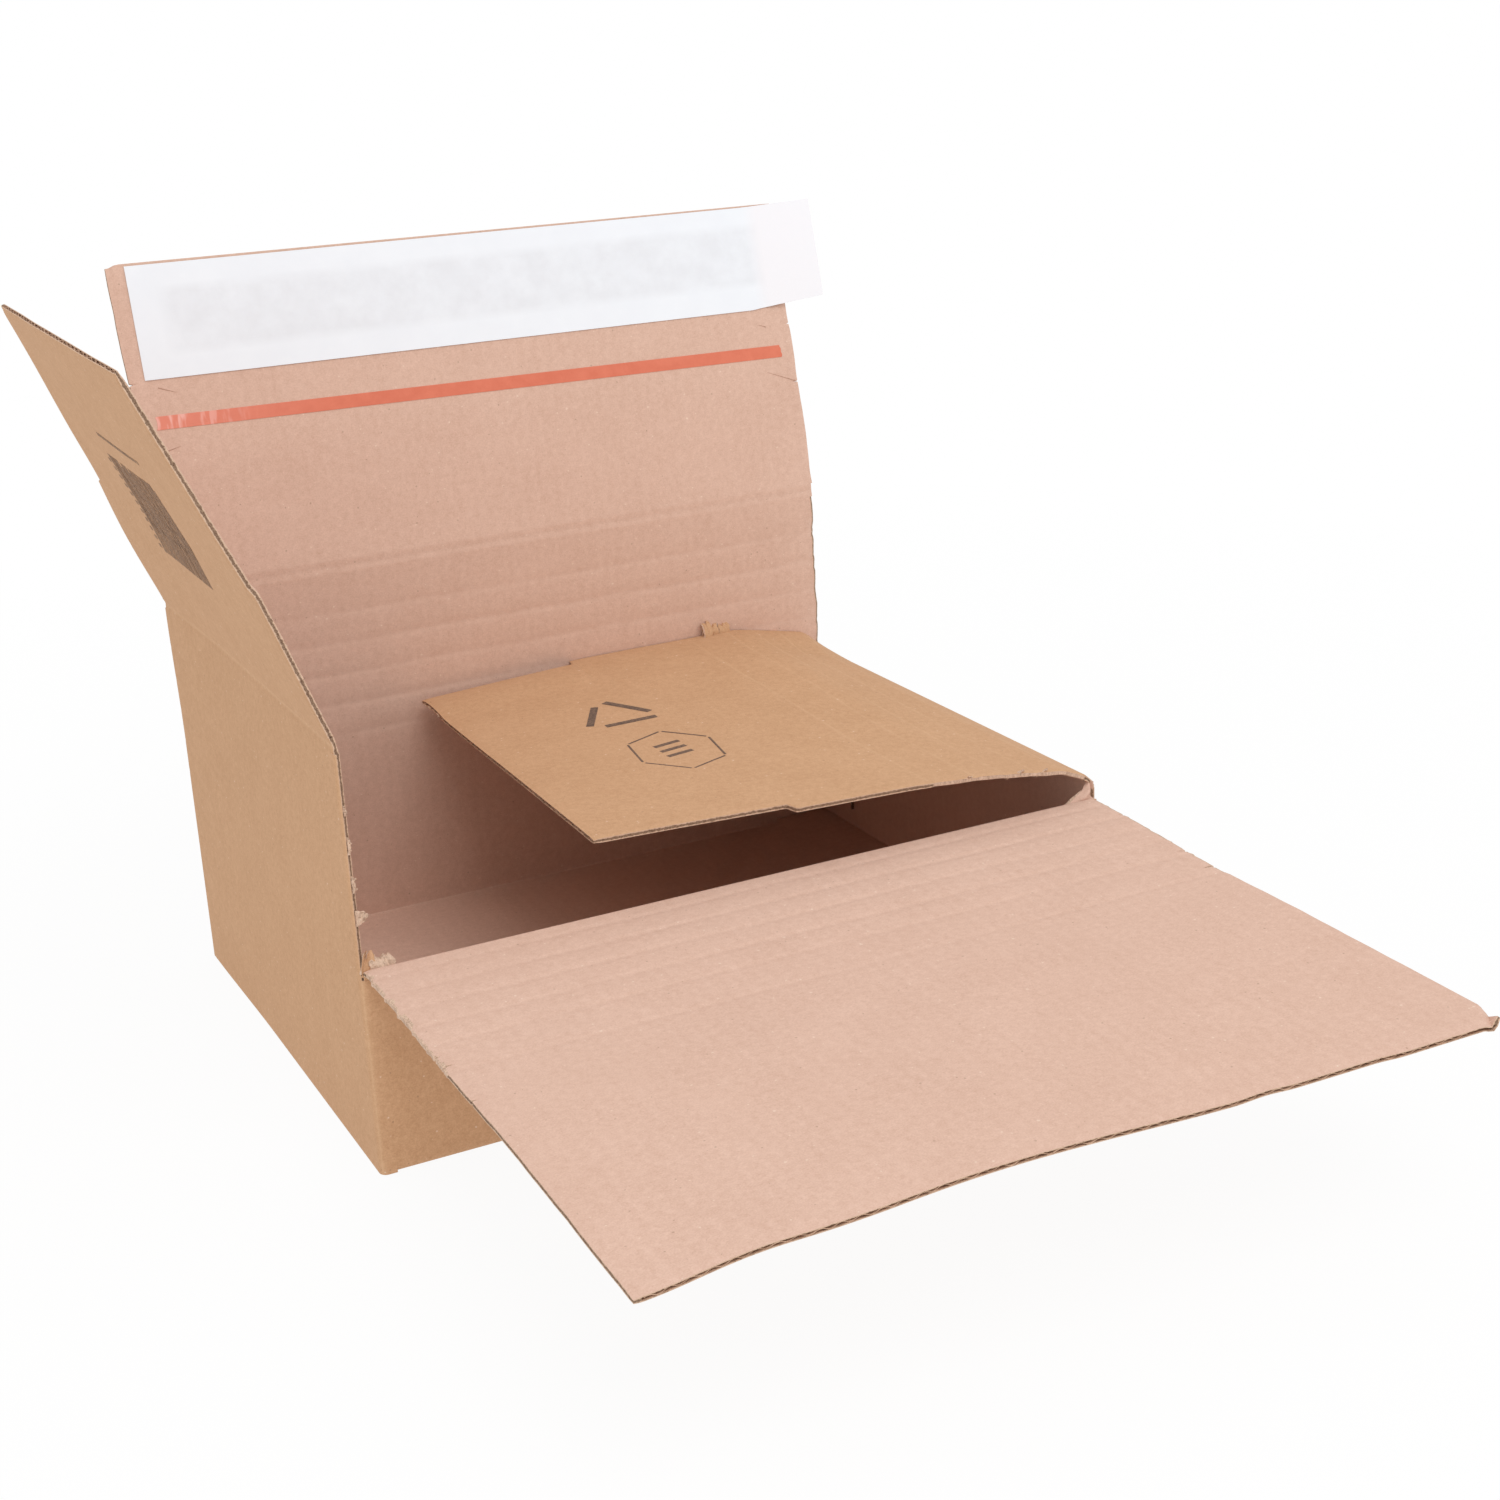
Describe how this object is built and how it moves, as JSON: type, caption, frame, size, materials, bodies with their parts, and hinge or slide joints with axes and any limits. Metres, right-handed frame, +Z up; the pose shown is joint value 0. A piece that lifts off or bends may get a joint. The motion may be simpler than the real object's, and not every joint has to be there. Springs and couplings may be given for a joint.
{
  "type": "open shipping carton",
  "caption": "Open corrugated shipping carton with height creases, four top flaps, a self-locking bottom, a seal strip with release liner and a tear tape.",
  "frame": {"origin": "middle of the base, on the table", "axes": "+Z up, +X to the carton's right and +Y to its back, seen from the side of the lowered front flap"},
  "size_m": [0.3744, 0.4875, 0.2947],
  "materials": {
    "kraft_outside": "matte",
    "kraft_inside": "matte",
    "adhesive": "tacky",
    "liner": "smooth, silicone coated",
    "tape": "satin"
  },
  "bodies": {
    "carton": {"carton_body": "kraft_outside"},
    "front": {"front_flap": "kraft_inside"},
    "right": {"right_flap": "kraft_outside"},
    "left": {"left_flap": "kraft_outside"},
    "back": {"back_flap": "kraft_inside", "adhesive_band": "adhesive", "release_liner": "liner", "tear_tape": "tape"}
  },
  "joints": [
    {"name": "front_fold", "type": "hinge", "parent": "carton", "child": "front", "pos_m": [0, -0.11375, 0.0785], "axis": [1, 0, 0], "range_deg": [-90, 17]},
    {"name": "right_fold", "type": "hinge", "parent": "carton", "child": "right", "pos_m": [0.15125, 0, 0.086], "axis": [0, 1, 0], "range_deg": [-12, 155]},
    {"name": "left_fold", "type": "hinge", "parent": "carton", "child": "left", "pos_m": [-0.15125, 0, 0.1605], "axis": [0, -1, 0], "range_deg": [-114, 90]},
    {"name": "back_fold", "type": "hinge", "parent": "carton", "child": "back", "pos_m": [0, 0.11375, 0.1633], "axis": [-1, 0, 0], "range_deg": [-100, 95]}
  ]
}
